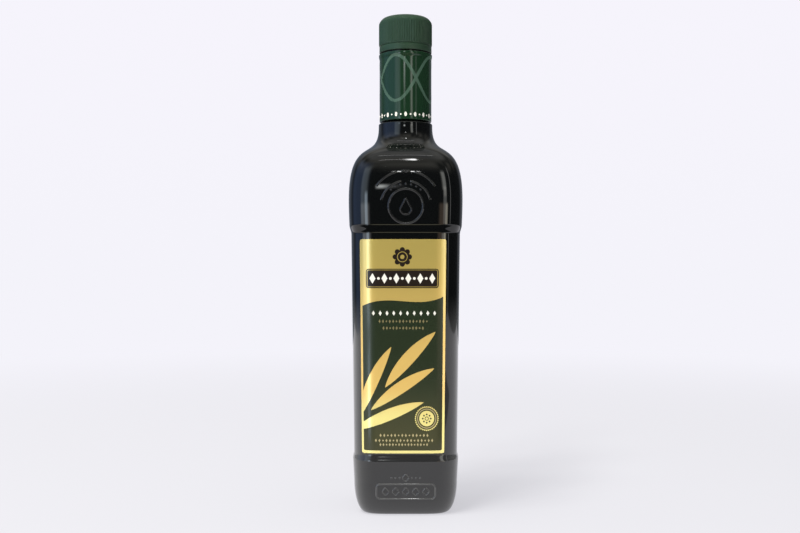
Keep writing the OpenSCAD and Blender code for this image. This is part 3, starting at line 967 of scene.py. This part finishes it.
softBoxes = [
    # range of azimuth (0 is the front) and of elevation in degrees, softness of each, and colour
    ((-31, -23.0, -14, 7.5), (1.4, 2.5), (2.1, 2.55, 3.0)),
    ((-47, -24, -4, 40), (5, 6), (0.7, 0.82, 0.86)),
    ((-108, -34, -8, 50), (20, 8), (0.24, 0.37, 0.68)),
    ((-200, -124, -8, 50), (10, 10), (0.15, 0.18, 0.23)),
    ((130, 200, -8, 50), (10, 10), (0.15, 0.16, 0.18)),
    ((22, 31, -4, 32), (2.0, 4), (1.1, 1.12, 1.08)),
    ((20, 30, 9.5, 30), (2.5, 1.5), (1.0, 1.0, 0.92)),
    ((45.5, 48.5, -4, 40), (1.0, 4), (1.3, 1.3, 1.3)),
    ((-48, -19, -10, 1.8), (3.0, 0.8), (0.9, 0.9, 0.9)),
    ((28, 35, -10, 1.8), (1.5, 0.6), (2.8, 2.6, 2.1)),
    ((14, 28, -10, 1.8), (2.5, 0.6), (0.6, 0.44, 0.32)),
    ((-16, 16, -13, -8.5), (8.0, 1.2), (1.3, 1.2, 0.8)),
    ((-8, -2, 10.4, 12.6), (2.5, 1.6), (7.5, 7.8, 7.7)),
    ((23, 30, 5, 12), (1.5, 1.5), (1.1, 1.05, 0.95)),
    # lamps
    ((-0.5, 1.4, 27.6, 28.6), (0.5, 0.5), (24.0, 24.0, 24.0)),
    ((0.9, 2.0, 54.4, 59.6), (0.5, 1.0), (28.0, 28.0, 28.0)),
    ((-16, 1.0, 56.4, 57.4), (4.0, 0.5), (4.0, 4.0, 4.0)),
    ((-50, 50, 75.6, 76.4), (8.0, 0.4), (5.0, 5.0, 5.0)),
    # the ceiling, and a faint light from everywhere
    ((-200, 200, 62, 100), (1.0, 6), (0.28, 0.29, 0.3)),
    ((-200, 200, -100, 100), (1.0, 1.0), (0.045, 0.048, 0.055)),
]


def makeWorld():
    # a pale backdrop for the eye, an even light for the matt surfaces, and soft boxes for the glossy ones
    world = bpy.data.worlds.new("studioSky")
    scene.world = world
    world.use_nodes = True
    tree = world.node_tree
    tree.nodes.clear()

    def node(kind, inputs, **values):
        # a node with its inputs given as {socket: plain value or another node's socket}
        made = tree.nodes.new(kind)
        for key, value in values.items():
            setattr(made, key, value)
        for key, value in inputs.items():
            if isinstance(value, bpy.types.NodeSocket):
                tree.links.new(value, made.inputs[key])
            else:
                made.inputs[key].default_value = value
        return made.outputs[0]

    def combine(operation, *inputs):
        return node("ShaderNodeMath", dict(enumerate(inputs)), operation=operation)

    def product(first, *others):
        for other in others:
            first = combine("MULTIPLY", first, other)
        return first

    def rampBetween(value, low, high):
        return node("ShaderNodeMapRange", {"Value": value, "From Min": low, "From Max": high},
                    interpolation_type="SMOOTHSTEP")

    def glow(tone, strength):
        return node("ShaderNodeVectorMath", {0: tone, "Scale": strength}, operation="SCALE")

    toDegrees = 180 / math.pi
    place = tree.nodes.new("ShaderNodeTexCoord").outputs["Generated"]
    split = tree.nodes.new("ShaderNodeSeparateXYZ")
    tree.links.new(place, split.inputs[0])
    azimuth = product(combine("ARCTAN2", split.outputs["X"], product(split.outputs["Y"], -1)), toDegrees)
    elevation = product(combine("ARCSINE", split.outputs["Z"]), toDegrees)

    glows = []
    for (azLow, azHigh, elLow, elHigh), (azSoft, elSoft), tone in softBoxes:
        across = product(rampBetween(azimuth, azLow - azSoft, azLow + azSoft),
                         rampBetween(azimuth, azHigh + azSoft, azHigh - azSoft))
        upward = product(rampBetween(elevation, elLow - elSoft, elLow + elSoft),
                         rampBetween(elevation, elHigh + elSoft, elHigh - elSoft))
        glows.append(glow(tone, product(across, upward)))
    patches = node("ShaderNodeTexNoise", {"Vector": place, "Scale": studio["roomScale"], "Detail": 1})
    room = product(rampBetween(elevation, studio["roomFrom"], studio["roomTo"]),
                   rampBetween(patches, 0.2, 0.8))
    glows.append(glow(studio["roomTone"], room))
    total = glows[0]
    for more in glows[1:]:
        total = node("ShaderNodeVectorMath", {0: total, 1: more}, operation="ADD")

    backdrop = mixColors(tree, rampBetween(elevation, studio["backFrom"], studio["backTo"]),
                         toLinear(studio["backLow"]), toLinear(studio["backTop"]))
    path = tree.nodes.new("ShaderNodeLightPath")
    glossy = node("ShaderNodeBackground", {"Color": total})
    even = node("ShaderNodeBackground",
                {"Color": (*studio["evenTone"], 1), "Strength": studio["evenStrength"]})
    seen = node("ShaderNodeBackground", {"Color": backdrop})
    lighting = node("ShaderNodeMixShader", {0: path.outputs["Is Glossy Ray"], 1: even, 2: glossy})
    surface = node("ShaderNodeMixShader", {0: path.outputs["Is Camera Ray"], 1: lighting, 2: seen})
    out = tree.nodes.new("ShaderNodeOutputWorld")
    tree.links.new(surface, out.inputs["Surface"])
    world.cycles.sampling_method = "NONE"


makeWorld()

keyLight = {
    "size": 0.5, "tone": (1.0, 0.99, 0.98), "target": (0, 0, 0.1),
    # place in metres and power: a broad soft key on the left, from beside the bottle round to its front
    "fan": [((-0.7, -0.08, 2.8), 9.0), ((-0.98, -0.62, 2.8), 28.0), ((-1.15, -1.36, 2.65), 41.0),
            ((-1.12, -2.1, 2.4), 30.0)],
}
for i, (place, power) in enumerate(keyLight["fan"]):
    name = "keySoftBox%d" % (i + 1)
    light = bpy.data.lights.new(name, "AREA")
    light.shape = "RECTANGLE"
    light.size = light.size_y = keyLight["size"]
    light.energy = power
    light.color = keyLight["tone"]
    lamp = bpy.data.objects.new(name, light)
    scene.collection.objects.link(lamp)
    lamp.location = place
    lamp.rotation_euler = (Vector(keyLight["target"]) - Vector(place)).to_track_quat("-Z", "Y").to_euler()
    lamp.visible_glossy = False
    lamp.visible_camera = False

camera = {"distance": 0.655, "height": 0.1511, "sideways": -0.0035, "lens": 46.35, "sensor": 36.0}
eye = bpy.data.cameras.new("camera")
eye.lens = camera["lens"]
eye.sensor_width = camera["sensor"]
eye.clip_start, eye.clip_end = 0.01, 100
eyeObject = bpy.data.objects.new("camera", eye)
scene.collection.objects.link(eyeObject)
eyeObject.location = (camera["sideways"], -camera["distance"], camera["height"])
eyeObject.rotation_euler = (math.pi / 2, 0, 0)
scene.camera = eyeObject
scene.view_settings.view_transform = "Standard"
print("stage, light and camera made")
